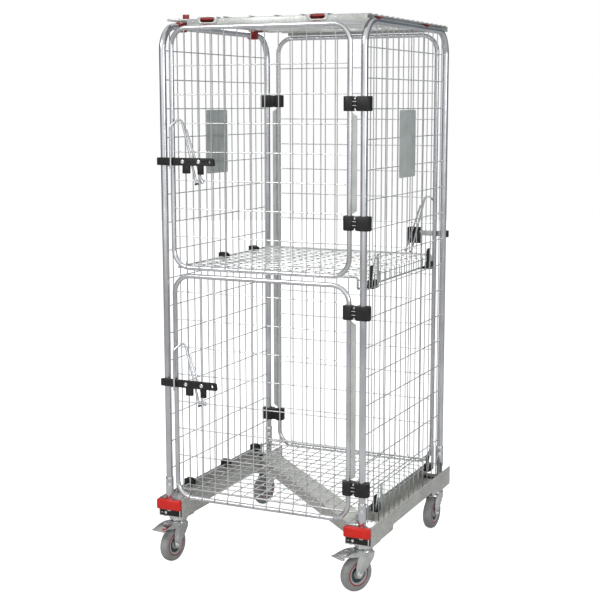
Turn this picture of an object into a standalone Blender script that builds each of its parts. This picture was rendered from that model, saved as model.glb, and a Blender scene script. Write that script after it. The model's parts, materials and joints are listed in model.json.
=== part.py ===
"""Roll cage container: a Z-shaped base on four castors, two fixed mesh side panels, two stacked
front doors, a hinged rear panel, a folding deck and shelf, and a lifting roof lid.

Metres, +Z up, the front is -Y. The origin is on the floor under the middle of the whole part's box.
Sizes and places below are measured from the middle of the cage, between its four posts.
"""

import math

import bmesh
import bpy
from mathutils import Matrix, Vector

GAP = 0.0003
# The brake pedals reach further forward than anything does at the back, so the cage stands behind the origin.
CAGE_Y = 0.0229

# Cage
POST_X = 0.380
POST_Y = 0.408
POST_R = 0.012
PANEL_TOP = 1.938
PANEL_BEND = 0.085
SLEEVE_R = 0.0142
SLEEVE_H = 0.078
WIRE = 0.005
SIDE_WIRE_PITCH = 0.051
SIDE_WIRES_Z = (0.452, 0.652, 0.852, 1.052, 1.352, 1.552, 1.752)
LABEL_Y = (-0.092, 0.070)
LABEL_Z = (1.410, 1.647)
LABEL_OUT = (0.0030, 0.0046)

# Base
RAIL_X = 0.371
RAIL_W = 0.098
RAIL_HALF = 0.420
RAIL_TOP = 0.242
RAIL_BOTTOM = 0.190
SHEET = 0.003
RAIL_FLOOR = RAIL_BOTTOM + SHEET
MOUNT_BOTTOM = 0.172
MOUNT_LEN = 0.210
BEAM_W = 0.090
BEAM_BOTTOM = 0.198
BUMPER_H = 0.038
BUMPER_T = 0.020

# Castors
WHEEL_R = 0.0625
WHEEL_HALF = 0.0165
TRAIL = 0.035
PLATE_BOTTOM = 0.1677
CASTORS = {
    "front_left": (-RAIL_X, -0.365, -8, True),
    "front_right": (RAIL_X, -0.365, -29, True),
    "rear_left": (-RAIL_X, 0.388, -10, False),
    "rear_right": (RAIL_X, 0.388, -3, False),
}

# Doors and rear panel: a ring of tube, hinged on one post
DOOR_R = 0.0085
DOOR_BEND = 0.062
DOOR_HINGE_X = 0.3285
DOOR_FREE_X = -0.345
DOOR_PITCH = 0.0518
DOOR_WIRES = (1, 3, 5, 7, 9, 11)
UPPER_WIRES_Z = (1.206, 1.404, 1.602, 1.800)
LOWER_WIRES_Z = (0.408, 0.608, 0.808, 1.008)
REAR_WIRES_Z = (0.509, 0.709, 0.909, 1.109, 1.309, 1.509, 1.709)
UPPER_Z = (1.096, 1.928)
LOWER_Z = (0.252, 1.066)
REAR_Z = (0.252, 1.928)
UPPER_CLIPS = (1.277, 1.669)
LOWER_CLIPS = (0.368, 0.977)
REAR_CLIPS = (0.380, 1.680)
CLIP_H = 0.049
CLIP_T = 0.038
CLIP_LEFT = 0.308
CLIP_RIGHT = 0.407

# Latches
UPPER_LATCH_Z = 1.470
LOWER_LATCH_Z = 0.678
REAR_LATCH_Z = 1.168
LATCH_LEFT = -0.396
LATCH_RIGHT = -0.168
LATCH_H = 0.027
LATCH_BACK = -0.4205
LATCH_T = 0.012
PADLOCK_HOLE_IN = 0.0195
REAR_LATCH_RIGHT = -0.228
ROD_R = 0.004
ROD_Y = -0.4155
ROD_FREE_Y = -0.4375

# Load floors
FLOOR_LEFT = -0.352
FLOOR_RIGHT = 0.345
FLOOR_Y = 0.372
DECK_Z = 0.272
DECK_LIP = 0.0255
SHELF_Z = 1.092
SHELF_LIP = 0.040
EDGE_R = 0.0038
DECK_CLIPS = (-0.295, -0.012, 0.240)
SHELF_CLIPS = (-0.011, 0.240)
SUPPORT_X = (0.3525, 0.3767)
DECK_SUPPORTS = (-0.240, 0.315)
DECK_SUPPORT_TOP = 0.304
SHELF_SUPPORTS = (-0.291, 0.291)
SHELF_SUPPORT_TOP = 1.126

# Roof
LID_Z = 1.9545
LID_T = 0.004
LID_LEFT = -0.362
LID_RIGHT = 0.388
LID_Y = 0.404
LID_SEAM = 0.026
LID_STRIP = 0.050
LID_CHANNEL = 0.060
FLANGE_BOTTOM = 1.9375
FLANGE_T = 0.0025
OVALS = (("left", -0.203), ("right", 0.210))
LID_HINGES = (("front", -0.2805), ("rear", 0.2805))
LID_CATCHES = (("front", -0.300), ("rear", 0.174))

PALETTE = {
    "zinc": ((0.72, 0.73, 0.75), 0.28, 1.0),
    "galvanised": ((0.56, 0.56, 0.54), 0.45, 0.9),
    "label_grey": ((0.50, 0.53, 0.51), 0.55, 0.2),
    "black_plastic": ((0.02, 0.02, 0.022), 0.5, 0.0),
    "red_plastic": ((0.78, 0.04, 0.02), 0.4, 0.0),
    "dark_red": ((0.42, 0.02, 0.02), 0.45, 0.0),
    "tyre_grey": ((0.24, 0.25, 0.25), 0.7, 0.0),
}


# ---------------------------------------------------------------- scene and helpers

for old in list(bpy.data.objects):
    bpy.data.objects.remove(old, do_unlink=True)

PARTS = bpy.data.collections.new("roll_cage")
HELPERS = bpy.data.collections.new("roll_cage_helpers")
bpy.context.scene.collection.children.link(PARTS)
bpy.context.scene.collection.children.link(HELPERS)
CAGE = bpy.data.objects.new("cage_middle", None)
CAGE.location = (0, CAGE_Y, 0)
PARTS.objects.link(CAGE)


def material(node, look):
    """A material of its own for each part, from the palette."""
    colour, rough, metal = PALETTE[look]
    made = bpy.data.materials.new(node + "_" + look)
    made.use_nodes = True
    shader = made.node_tree.nodes["Principled BSDF"]
    shader.inputs["Base Color"].default_value = (*colour, 1.0)
    shader.inputs["Roughness"].default_value = rough
    shader.inputs["Metallic"].default_value = metal
    made.diffuse_color = (*colour, 1.0)
    return made


def helper(name, mesh):
    """A shape that is joined to a part or cut from it."""
    made = bpy.data.objects.new(name, mesh)
    HELPERS.objects.link(made)
    made.parent = CAGE
    made.hide_render = True
    made.display_type = "WIRE"
    return made


def baked(source):
    """The evaluated mesh of an object, welded, with the object removed."""
    bpy.context.view_layer.update()
    graph = bpy.context.evaluated_depsgraph_get()
    mesh = bpy.data.meshes.new_from_object(source.evaluated_get(graph))
    bm = bmesh.new()
    bm.from_mesh(mesh)
    bmesh.ops.remove_doubles(bm, verts=bm.verts, dist=0.00001)
    bmesh.ops.recalc_face_normals(bm, faces=bm.faces)
    bm.to_mesh(mesh)
    bm.free()
    bpy.data.objects.remove(source, do_unlink=True)
    return mesh


def box(name, low, high, bevel=0.0):
    """A box between two corners, its upright edges rounded when bevel is given."""
    mesh = bpy.data.meshes.new(name)
    bm = bmesh.new()
    size = [h - l for l, h in zip(low, high)]
    middle = [(h + l) / 2 for l, h in zip(low, high)]
    bmesh.ops.create_cube(bm, size=1.0, matrix=Matrix.Translation(middle) @ Matrix.Diagonal((*size, 1)))
    if bevel:
        upright = [e for e in bm.edges if abs(e.verts[0].co.z - e.verts[1].co.z) > 1e-6]
        bmesh.ops.bevel(bm, geom=upright, offset=bevel, segments=2, affect="EDGES", profile=0.5)
    bm.to_mesh(mesh)
    bm.free()
    return mesh


def cylinder(name, radius, length, middle, axis="Z", sides=16):
    """A round bar about one of the axes."""
    turn = {
        "X": Matrix.Rotation(math.pi / 2, 4, "Y"),
        "Y": Matrix.Rotation(math.pi / 2, 4, "X"),
        "Z": Matrix.Identity(4),
    }[axis]
    mesh = bpy.data.meshes.new(name)
    bm = bmesh.new()
    bmesh.ops.create_cone(
        bm,
        cap_ends=True,
        segments=sides,
        radius1=radius,
        radius2=radius,
        depth=length,
        matrix=Matrix.Translation(middle) @ turn,
    )
    bm.to_mesh(mesh)
    bm.free()
    return mesh


def rounded(points, radius, steps, closed=False):
    """A polyline with its corners turned into arcs."""
    points = [Vector(p) for p in points]
    count = len(points)
    path = []
    for i, corner in enumerate(points):
        if not closed and i in (0, count - 1):
            path.append(corner)
            continue
        to_last = (points[i - 1] - corner).normalized()
        to_next = (points[(i + 1) % count] - corner).normalized()
        half = to_last.angle(to_next) / 2
        reach = radius / math.tan(half)
        centre = corner + (to_last + to_next).normalized() * (radius / math.sin(half))
        start = corner + to_last * reach - centre
        end = corner + to_next * reach - centre
        whole = start.angle(end)
        for k in range(steps + 1):
            a = whole * k / steps
            path.append(centre + (start * math.sin(whole - a) + end * math.sin(a)) / math.sin(whole))
    return path


def tube(name, path, radius, closed=False, resolution=2):
    """A round tube along a path."""
    curve = bpy.data.curves.new(name, "CURVE")
    curve.dimensions = "3D"
    curve.bevel_depth = radius
    curve.bevel_resolution = resolution
    curve.use_fill_caps = True
    spline = curve.splines.new("POLY")
    spline.points.add(len(path) - 1)
    for point, place in zip(spline.points, path):
        point.co = (*place, 1.0)
    spline.use_cyclic_u = closed
    made = bpy.data.objects.new(name, curve)
    HELPERS.objects.link(made)
    return baked(made)


def plate(name, outline, half, matrix):
    """A flat outline, drawn in its own XY plane, with a thickness of twice half."""
    curve = bpy.data.curves.new(name, "CURVE")
    curve.dimensions = "2D"
    curve.fill_mode = "BOTH"
    curve.extrude = half
    spline = curve.splines.new("POLY")
    spline.points.add(len(outline) - 1)
    for point, place in zip(spline.points, outline):
        point.co = (place[0], place[1], 0.0, 1.0)
    spline.use_cyclic_u = True
    made = bpy.data.objects.new(name, curve)
    HELPERS.objects.link(made)
    mesh = baked(made)
    mesh.transform(matrix)
    return mesh


def turned(name, profile, steps, matrix):
    """A profile of (radius, height) turned about its axis, listed from top to bottom outside."""
    mesh = bpy.data.meshes.new(name)
    bm = bmesh.new()
    row = [bm.verts.new((r, 0.0, h)) for r, h in profile]
    for a, b in zip(row, row[1:] + row[:1]):
        bm.edges.new((a, b))
    bm.to_mesh(mesh)
    bm.free()
    made = bpy.data.objects.new(name, mesh)
    HELPERS.objects.link(made)
    screw = made.modifiers.new("turn", "SCREW")
    screw.axis = "Z"
    screw.steps = steps
    screw.render_steps = steps
    screw.use_merge_vertices = True
    screw.merge_threshold = 0.00001
    mesh = baked(made)
    mesh.transform(matrix)
    return mesh


def lattice(name, across, up, half, u_ends, v_ends, frame_u=(), frame_v=()):
    """A flat mesh of crossing bars in its own XY plane, as an open sheet.

    across and up hold the middles of the bars; frame_u and frame_v hold extra (low, high) strips.
    """
    in_u = [(u - half, u + half) for u in across] + list(frame_u)
    in_v = [(v - half, v + half) for v in up] + list(frame_v)
    cuts_u = sorted({*u_ends, *(c for pair in in_u for c in pair)})
    cuts_v = sorted({*v_ends, *(c for pair in in_v for c in pair)})
    mesh = bpy.data.meshes.new(name)
    bm = bmesh.new()
    cells_u = len(cuts_u) - 1
    cells_v = len(cuts_v) - 1
    bmesh.ops.create_grid(bm, x_segments=cells_u, y_segments=cells_v, size=1.0)
    for vert in bm.verts:
        i = round((vert.co.x + 1) / 2 * cells_u)
        j = round((vert.co.y + 1) / 2 * cells_v)
        vert.co = (cuts_u[i], cuts_v[j], 0.0)
    holes = []
    for face in bm.faces:
        middle = face.calc_center_median()
        solid = any(a < middle.x < b for a, b in in_u) or any(a < middle.y < b for a, b in in_v)
        if not solid:
            holes.append(face)
    bmesh.ops.delete(bm, geom=holes, context="FACES")
    bm.to_mesh(mesh)
    bm.free()
    return mesh


def part(node, look, mesh, origin=(0, 0, 0), joined=(), cut=(), thick=0.0):
    """A node: its mesh, what is joined to it and cut from it, and its origin."""
    made = bpy.data.objects.new(node, mesh)
    PARTS.objects.link(made)
    mesh.transform(Matrix.Translation(-Vector(origin)))
    made.parent = CAGE
    made.location = origin
    mesh.materials.clear()
    mesh.materials.append(material(node, look))
    if thick:
        solid = made.modifiers.new("thickness", "SOLIDIFY")
        solid.thickness = thick
        solid.offset = 0.0
    for operation, others in (("UNION", joined), ("DIFFERENCE", cut)):
        for other in others:
            step = made.modifiers.new(operation.lower(), "BOOLEAN")
            step.operation = operation
            step.solver = "EXACT"
            step.object = helper(node + "_" + other.name, other)
    mesh.shade_smooth()
    mesh.set_sharp_from_angle(angle=math.radians(35))
    return made


def about_z(x, y, degrees):
    """The placement that turns a shape about an upright axis at x, y."""
    return Matrix.Translation((x, y, 0)) @ Matrix.Rotation(math.radians(degrees), 4, "Z")


# Own XY plane to the world's YZ plane, and to the world's XZ plane.
TO_YZ = Matrix(((0, 0, 1, 0), (1, 0, 0, 0), (0, 1, 0, 0), (0, 0, 0, 1)))
TO_XZ = Matrix(((1, 0, 0, 0), (0, 0, -1, 0), (0, 1, 0, 0), (0, 0, 0, 1)))


# ---------------------------------------------------------------- base

def channel(low, high, bottom, top):
    """The outline of a folded sheet channel that is open below."""
    return [
        (low, bottom),
        (low, top),
        (high, top),
        (high, bottom),
        (high - SHEET, bottom),
        (high - SHEET, top - SHEET),
        (low + SHEET, top - SHEET),
        (low + SHEET, bottom),
    ]


def build_rail(side, sign):
    """A folded channel that is open above, with a deeper box at each end for the castor plate."""
    low = sign * RAIL_X - RAIL_W / 2
    high = sign * RAIL_X + RAIL_W / 2
    flipped = [(x, RAIL_BOTTOM + RAIL_TOP - z) for x, z in channel(low, high, RAIL_BOTTOM, RAIL_TOP)]
    main = plate("rail", flipped, RAIL_HALF, TO_XZ)
    tray = [
        (low, RAIL_BOTTOM + 0.012),
        (low + SHEET, RAIL_BOTTOM + 0.012),
        (low + SHEET, MOUNT_BOTTOM + SHEET),
        (high - SHEET, MOUNT_BOTTOM + SHEET),
        (high - SHEET, RAIL_BOTTOM + 0.012),
        (high, RAIL_BOTTOM + 0.012),
        (high, MOUNT_BOTTOM),
        (low, MOUNT_BOTTOM),
    ]
    trays = []
    for end in (-1, 1):
        middle = end * (RAIL_HALF - MOUNT_LEN / 2)
        place = Matrix.Translation((0, middle, 0)) @ TO_XZ
        trays.append(plate("tray_front" if end < 0 else "tray_rear", tray, MOUNT_LEN / 2, place))
    part("base_" + side + "_rail", "galvanised", main, joined=trays)


def build_beam():
    """The folded sheet beam from the rear left corner to the front right corner."""
    start = Vector((-0.345, 0.300, 0))
    end = Vector((0.345, -0.360, 0))
    run = end - start
    outline = channel(-BEAM_W / 2, BEAM_W / 2, BEAM_BOTTOM, RAIL_TOP - 0.0015)
    turn = math.degrees(math.atan2(run.y, run.x)) + 90
    middle = (start + end) / 2
    mesh = plate("beam", outline, run.length / 2 + 0.1, about_z(middle.x, middle.y, turn) @ TO_XZ)
    inner = RAIL_X - RAIL_W / 2 - GAP
    cutters = [
        box("trim_left", (-1, -1, 0), (-inner, 1, 0.5)),
        box("trim_right", (inner, -1, 0), (1, 1, 0.5)),
    ]
    part("base_diagonal_beam", "galvanised", mesh, cut=cutters)


def build_bumper(side, sign):
    """A moulded cap on the front end of a rail."""
    low = (sign * RAIL_X - RAIL_W / 2, -RAIL_HALF - BUMPER_T, RAIL_TOP - 0.001 - BUMPER_H)
    high = (sign * RAIL_X + RAIL_W / 2, -RAIL_HALF - GAP, RAIL_TOP - 0.001)
    part("bumper_front_" + side, "red_plastic", box("bumper", low, high, bevel=0.004))


# ---------------------------------------------------------------- castors

def build_castor(tag, x, y, degrees, brake):
    """Top plate with its swivel cup, pressed fork, wheel, axle and, in front, a brake pedal."""
    spot = about_z(x, y, degrees)
    head = (x, y, PLATE_BOTTOM)
    low = (x - 0.048, y - 0.040, PLATE_BOTTOM)
    top = box("plate", low, (x + 0.048, y + 0.040, MOUNT_BOTTOM - GAP), 0.006)
    cup = cylinder("cup", 0.034, 0.018, (x, y, 0.1607), sides=20)
    part("castor_" + tag + "_plate", "zinc", top, head, joined=[cup])

    leg = [(0.030, 0.137), (0.027, 0.116), (-0.019, 0.056)]
    for k in range(5):
        a = math.radians(-35 - 35 * k)
        leg.append((-TRAIL + 0.0165 * math.cos(a), WHEEL_R + 0.0165 * math.sin(a)))
    leg += [(-0.050, 0.090), (-0.044, 0.122), (-0.028, 0.137)]
    legs = []
    for name, side in (("leg_a", -1), ("leg_b", 1)):
        legs.append(plate(name, leg, 0.002, Matrix.Translation((side * 0.0205, 0, 0)) @ TO_YZ))
    crown = box("crown", (-0.0225, -0.030, 0.131), (0.0225, 0.030, 0.137))
    knob = cylinder("knob", 0.029, 0.0164, (0, 0, 0.1432), sides=20)
    hole = cylinder("hole", 0.0053, 0.08, (0, -TRAIL, WHEEL_R), "X", 12)
    for mesh in (crown, knob, hole, *legs):
        mesh.transform(spot)
    part("castor_" + tag + "_fork", "zinc", crown, (x, y, 0.137), joined=[knob, *legs], cut=[hole])

    hub = spot @ Vector((0, -TRAIL, WHEEL_R))
    across = Matrix.Rotation(math.pi / 2, 4, "Y")
    place = Matrix.Translation(hub) @ Matrix.Rotation(math.radians(degrees), 4, "Z") @ across
    half = WHEEL_HALF
    profile = [
        (0.0057, half),
        (0.0130, half),
        (0.0150, 0.0080),
        (0.0370, 0.0080),
        (0.0390, half - 0.0015),
        (0.0540, half),
        (0.0610, half - 0.0060),
        (WHEEL_R, half - 0.0120),
    ]
    profile += [(r, -h) for r, h in reversed(profile)]
    wheel = turned("wheel", profile, 20, place)
    part("castor_" + tag + "_wheel", "tyre_grey", wheel, hub)

    shaft = cylinder("shaft", 0.0050, 0.050, (0, 0, 0), "X", 12)
    heads = []
    for name, side in (("nut_a", -1), ("nut_b", 1)):
        heads.append(cylinder(name, 0.0085, 0.0050, (side * 0.0253, 0, 0), "X", 6))
    turn = Matrix.Translation(hub) @ Matrix.Rotation(math.radians(degrees), 4, "Z")
    for mesh in (shaft, *heads):
        mesh.transform(turn)
    part("castor_" + tag + "_axle", "zinc", shaft, hub, joined=heads)
    if brake:
        build_pedal(tag, spot)


def build_pedal(tag, spot):
    """The pressed brake pedal that reaches over the wheel, pivoted on the fork."""
    tread = [
        (-0.034, 0.1490),
        (-0.060, 0.1500),
        (-0.090, 0.1450),
        (-0.116, 0.1370),
        (-0.116, 0.1340),
        (-0.090, 0.1415),
        (-0.060, 0.1465),
        (-0.034, 0.1455),
    ]
    ear = [
        (-0.018, 0.1475),
        (-0.060, 0.1484),
        (-0.094, 0.1422),
        (-0.094, 0.1370),
        (-0.050, 0.1290),
        (-0.018, 0.1300),
    ]
    top = plate("tread", tread, 0.0268, TO_YZ)
    ears = []
    for name, side in (("ear_a", -1), ("ear_b", 1)):
        ears.append(plate(name, ear, 0.0012, Matrix.Translation((side * 0.0254, 0, 0)) @ TO_YZ))
    lip = box("lip", (-0.032, -0.119, 0.1327), (0.032, -0.107, 0.1362))
    for mesh in (top, lip, *ears):
        mesh.transform(spot)
    part("castor_" + tag + "_brake", "zinc", top, spot @ Vector((0, -0.022, 0.139)), joined=[*ears, lip])


# ---------------------------------------------------------------- side panels

def build_side_panel(side, sign):
    """Two posts and a top tube from one bent tube, standing in the rail, with the mesh welded into it."""
    x = sign * POST_X
    foot = RAIL_FLOOR + GAP
    corners = [(x, -POST_Y, foot), (x, -POST_Y, PANEL_TOP), (x, POST_Y, PANEL_TOP), (x, POST_Y, foot)]
    frame = tube("frame", rounded(corners, PANEL_BEND, 5), POST_R)
    across = [SIDE_WIRE_PITCH * k for k in (-7, -5, -3, -1, 1, 3, 5, 7)]
    wires = lattice("wires", across, SIDE_WIRES_Z, WIRE / 2, (-POST_Y, POST_Y), (foot + 0.001, PANEL_TOP))
    wires.transform(Matrix.Translation((x, 0, 0)) @ TO_YZ)
    sleeves = []
    for name, y in (("sleeve_front", -POST_Y), ("sleeve_rear", POST_Y)):
        middle = (x, y, RAIL_TOP + GAP + SLEEVE_H / 2)
        sleeves.append(cylinder(name, SLEEVE_R, SLEEVE_H, middle, sides=12))
    part(side + "_side_panel", "zinc", wires, joined=[frame, *sleeves], thick=WIRE)
    low, high = sorted(x + sign * out for out in LABEL_OUT)
    sheet = box("sheet", (low, LABEL_Y[0], LABEL_Z[0]), (high, LABEL_Y[1], LABEL_Z[1]))
    part("label_plate_" + side, "label_grey", sheet)


# ---------------------------------------------------------------- doors and rear panel

def build_panel(node, heights, up, clips, spin):
    """A ring of tube with its wire mesh and a keeper rod beside the hinge tube."""
    low, high = heights
    ring = rounded(
        [(DOOR_FREE_X, -POST_Y, low), (DOOR_HINGE_X, -POST_Y, low), (DOOR_HINGE_X, -POST_Y, high),
         (DOOR_FREE_X, -POST_Y, high)],
        DOOR_BEND,
        5,
        closed=True,
    )
    frame = tube("frame", ring, DOOR_R, closed=True)
    across = [DOOR_FREE_X + DOOR_PITCH * k for k in DOOR_WIRES]
    wires = lattice("wires", across, up, WIRE / 2, (DOOR_FREE_X, DOOR_HINGE_X), (low, high))
    wires.transform(Matrix.Translation((0, -POST_Y, 0)) @ TO_XZ)
    bottom = clips[0] + CLIP_H / 2 + 0.012
    top = clips[1] - CLIP_H / 2 - 0.012
    x = DOOR_HINGE_X
    keeper = tube(
        "keeper",
        [(x, -POST_Y, bottom), (x + 0.018, -POST_Y, bottom + 0.018), (x + 0.018, -POST_Y, top - 0.018),
         (x, -POST_Y, top)],
        0.0035,
        resolution=1,
    )
    for mesh in (frame, wires, keeper):
        mesh.transform(spin)
    origin = spin @ Vector((DOOR_HINGE_X, -POST_Y, low))
    part(node, "zinc", wires, origin, joined=[frame, keeper], thick=WIRE)


def build_clip(node, z, spin):
    """A moulded double hinge that turns on the post and carries the panel's hinge tube."""
    low = (CLIP_LEFT, -POST_Y - CLIP_T / 2, z - CLIP_H / 2)
    high = (CLIP_RIGHT, -POST_Y + CLIP_T / 2, z + CLIP_H / 2)
    body = box("body", low, high, bevel=0.012)
    bores = [
        cylinder("post_bore", POST_R + GAP, 0.08, (POST_X, -POST_Y, z), sides=20),
        cylinder("tube_bore", DOOR_R + GAP, 0.08, (DOOR_HINGE_X, -POST_Y, z), sides=16),
    ]
    for mesh in (body, *bores):
        mesh.transform(spin)
    part(node, "black_plastic", body, spin @ Vector((POST_X, -POST_Y, z)), cut=bores)


def build_latch(node, z, spin, rear=False):
    """A bar with its clamp blocks, and a bent rod that hooks in front of it; the rear one is shorter."""
    front = LATCH_BACK - LATCH_T
    right = REAR_LATCH_RIGHT if rear else LATCH_RIGHT
    bar = box("bar", (LATCH_LEFT, front, z - LATCH_H / 2), (right, LATCH_BACK, z + LATCH_H / 2))
    if rear:
        blocks = [box("clamp", (-0.284, front, z - 0.041), (right, LATCH_BACK, z + 0.023))]
        cut = []
    else:
        blocks = [
            box("block_a", (-0.294, front, z - 0.041), (-0.266, LATCH_BACK, z)),
            box("block_b", (-0.234, front, z - 0.044), (-0.213, LATCH_BACK, z)),
        ]
        cut = [cylinder("padlock_hole", 0.0055, 0.05, (right - PADLOCK_HOLE_IN, LATCH_BACK, z), "Y", 12)]
    bottom = Vector((-0.246, ROD_Y, z - 0.080))
    top = Vector((-0.305, ROD_Y, z + 0.156))
    path = rounded(
        [bottom, top, (-0.337, ROD_FREE_Y, z + 0.121), (-0.337, ROD_FREE_Y, z - 0.026)],
        0.012,
        3,
    )
    rod = tube("rod", path, ROD_R, resolution=2)
    for mesh in (bar, *blocks, *cut, rod):
        mesh.transform(spin)
    centre = spin @ Vector((-0.282, LATCH_BACK, z))
    part(node + "_latch_bar", "black_plastic", bar, centre, joined=blocks, cut=cut)
    part(node + "_latch_rod", "zinc", rod, spin @ bottom)


# ---------------------------------------------------------------- deck, shelf and roof

def build_floor(node, z, lip):
    """A wire mesh in an edge wire, hinged on its left edge, with its right edge turned down."""
    left, right, low = FLOOR_LEFT, FLOOR_RIGHT, z - lip
    corners = [
        (left, -FLOOR_Y, z),
        (right, -FLOOR_Y, z),
        (right, -FLOOR_Y, low),
        (right, FLOOR_Y, low),
        (right, FLOOR_Y, z),
        (left, FLOOR_Y, z),
    ]
    frame = tube("edge", rounded(corners, 0.008, 2, closed=True), EDGE_R, closed=True, resolution=1)
    across = [left + (right - left) * k / 7 for k in range(1, 7)]
    up = [-FLOOR_Y + 2 * FLOOR_Y * k / 7 for k in range(1, 7)]
    wires = lattice("wires", across, up, WIRE / 2, (left, right), (-FLOOR_Y, FLOOR_Y))
    wires.transform(Matrix.Translation((0, 0, z)))
    half = WIRE / 2 - 0.0004
    drops = []
    for k, y in enumerate(up):
        drops.append(box(f"drop_{k}", (right - half, y - half, low), (right + half, y + half, z + half)))
    part(node, "zinc", wires, (left, 0, z), joined=[frame, *drops], thick=WIRE)


def build_floor_clip(node, y, z):
    """A moulded block on the left side panel that the floor's edge wire turns in."""
    body = box("body", (-0.3767, y - 0.014, z - 0.013), (FLOOR_LEFT + 0.010, y + 0.014, z + 0.015), 0.0)
    bore = cylinder("bore", EDGE_R + GAP + 0.0002, 0.05, (FLOOR_LEFT, y, z), "Y", 16)
    part(node, "black_plastic", body, (FLOOR_LEFT, y, z), cut=[bore])


def build_support(node, y, low, high, arm=False):
    """A moulded catch with an upright tab beside a floor's turned-down edge; an arm carries that edge."""
    inner, outer = SUPPORT_X
    foot = box("foot", (inner, y - 0.018, low), (outer, y + 0.018, low + 0.030))
    joined = [box("upright", (inner + 0.004, y - 0.010, low + 0.010), (inner + 0.012, y + 0.010, high))]
    if arm:
        start = (FLOOR_RIGHT - 0.007, y - 0.014, low + 0.0002)
        joined.append(box("arm", start, (inner + 0.005, y + 0.014, low + 0.003)))
    part(node, "black_plastic", foot, (inner, y, low), joined=joined)


def build_lid():
    """The lifting roof: wire mesh, edge strips and two deep flanges, hinged on the left tube."""
    left = LID_LEFT + LID_SEAM
    right = LID_RIGHT - LID_STRIP
    reach = LID_Y - LID_CHANNEL
    across = [left + (right - left) * k / 7 for k in range(1, 7)]
    up = [-reach + 2 * reach * k / 6 for k in range(1, 6)]
    wires = lattice(
        "wires",
        across,
        up,
        WIRE / 2,
        (LID_LEFT, LID_RIGHT),
        (-LID_Y, LID_Y),
        frame_u=((LID_LEFT, left), (right, LID_RIGHT)),
        frame_v=((-LID_Y, -reach), (reach, LID_Y)),
    )
    wires.transform(Matrix.Translation((0, 0, LID_Z)))
    flanges = []
    for name, sign in (("flange_front", -1), ("flange_rear", 1)):
        inner, outer = sorted((sign * (LID_Y - FLANGE_T), sign * LID_Y))
        flanges.append(box(name, (-0.283, inner, FLANGE_BOTTOM), (0.345, outer, LID_Z + 0.001)))
    ovals = []
    for name, x in OVALS:
        low = (x - 0.040, -0.400, LID_Z)
        ovals.append(box("oval_" + name, low, (x + 0.040, -0.360, LID_Z + 0.010), 0.016))
    part("roof_lid", "galvanised", wires, (-POST_X, 0, PANEL_TOP), joined=[*flanges, *ovals], thick=LID_T)


def build_lid_fittings():
    """Red hinge blocks around the left top tube, and red catches over the right top tube."""
    under = LID_Z - LID_T / 2 - GAP
    for name, y in LID_HINGES:
        body = box("body", (-0.397, y - 0.017, PANEL_TOP - 0.017), (-0.340, y + 0.017, under))
        bore = cylinder("bore", POST_R + GAP, 0.06, (-POST_X, y, PANEL_TOP), "Y", 24)
        part("lid_hinge_" + name, "dark_red", body, (-POST_X, y, PANEL_TOP), cut=[bore])
    for name, y in LID_CATCHES:
        body = box("body", (0.364, y - 0.020, PANEL_TOP + 0.0005), (0.388, y + 0.020, under))
        bore = cylinder("bore", POST_R + GAP, 0.06, (POST_X, y, PANEL_TOP), "Y", 24)
        part("lid_catch_" + name, "dark_red", body, (POST_X, y, PANEL_TOP), cut=[bore])


# ---------------------------------------------------------------- assembly

def main():
    for side, sign in (("left", -1), ("right", 1)):
        build_rail(side, sign)
        build_bumper(side, sign)
        build_side_panel(side, sign)
    build_beam()
    for tag, (x, y, degrees, brake) in CASTORS.items():
        build_castor(tag, x, y, degrees, brake)

    front = Matrix.Identity(4)
    rear = Matrix.Rotation(math.pi, 4, "Z")
    build_panel("upper_door", UPPER_Z, UPPER_WIRES_Z, UPPER_CLIPS, front)
    build_panel("lower_door", LOWER_Z, LOWER_WIRES_Z, LOWER_CLIPS, front)
    build_panel("rear_panel", REAR_Z, REAR_WIRES_Z, REAR_CLIPS, rear)
    for node, clips, spin in (
        ("upper_door", UPPER_CLIPS, front),
        ("lower_door", LOWER_CLIPS, front),
        ("rear_panel", REAR_CLIPS, rear),
    ):
        build_clip(node + "_clip_bottom", clips[0], spin)
        build_clip(node + "_clip_top", clips[1], spin)
    build_latch("upper_door", UPPER_LATCH_Z, front)
    build_latch("lower_door", LOWER_LATCH_Z, front)
    build_latch("rear_panel", REAR_LATCH_Z, rear, rear=True)

    build_floor("bottom_deck", DECK_Z, DECK_LIP)
    build_floor("middle_shelf", SHELF_Z, SHELF_LIP)
    for name, y in zip(("front", "middle", "rear"), DECK_CLIPS):
        build_floor_clip("deck_clip_" + name, y, DECK_Z)
    for name, y in zip(("front", "rear"), SHELF_CLIPS):
        build_floor_clip("shelf_clip_" + name, y, SHELF_Z)
    for name, y in zip(("front", "rear"), DECK_SUPPORTS):
        build_support("deck_support_" + name, y, RAIL_TOP + GAP, DECK_SUPPORT_TOP)
    under_lip = SHELF_Z - SHELF_LIP - EDGE_R - GAP - 0.003
    for name, y in zip(("front", "rear"), SHELF_SUPPORTS):
        build_support("shelf_support_" + name, y, under_lip, SHELF_SUPPORT_TOP, arm=True)
    build_lid()
    build_lid_fittings()


main()
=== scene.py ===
"""The looks of the roll cage container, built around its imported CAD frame."""

import json
import math

import bmesh
import bpy
from mathutils import Matrix, Vector


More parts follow.
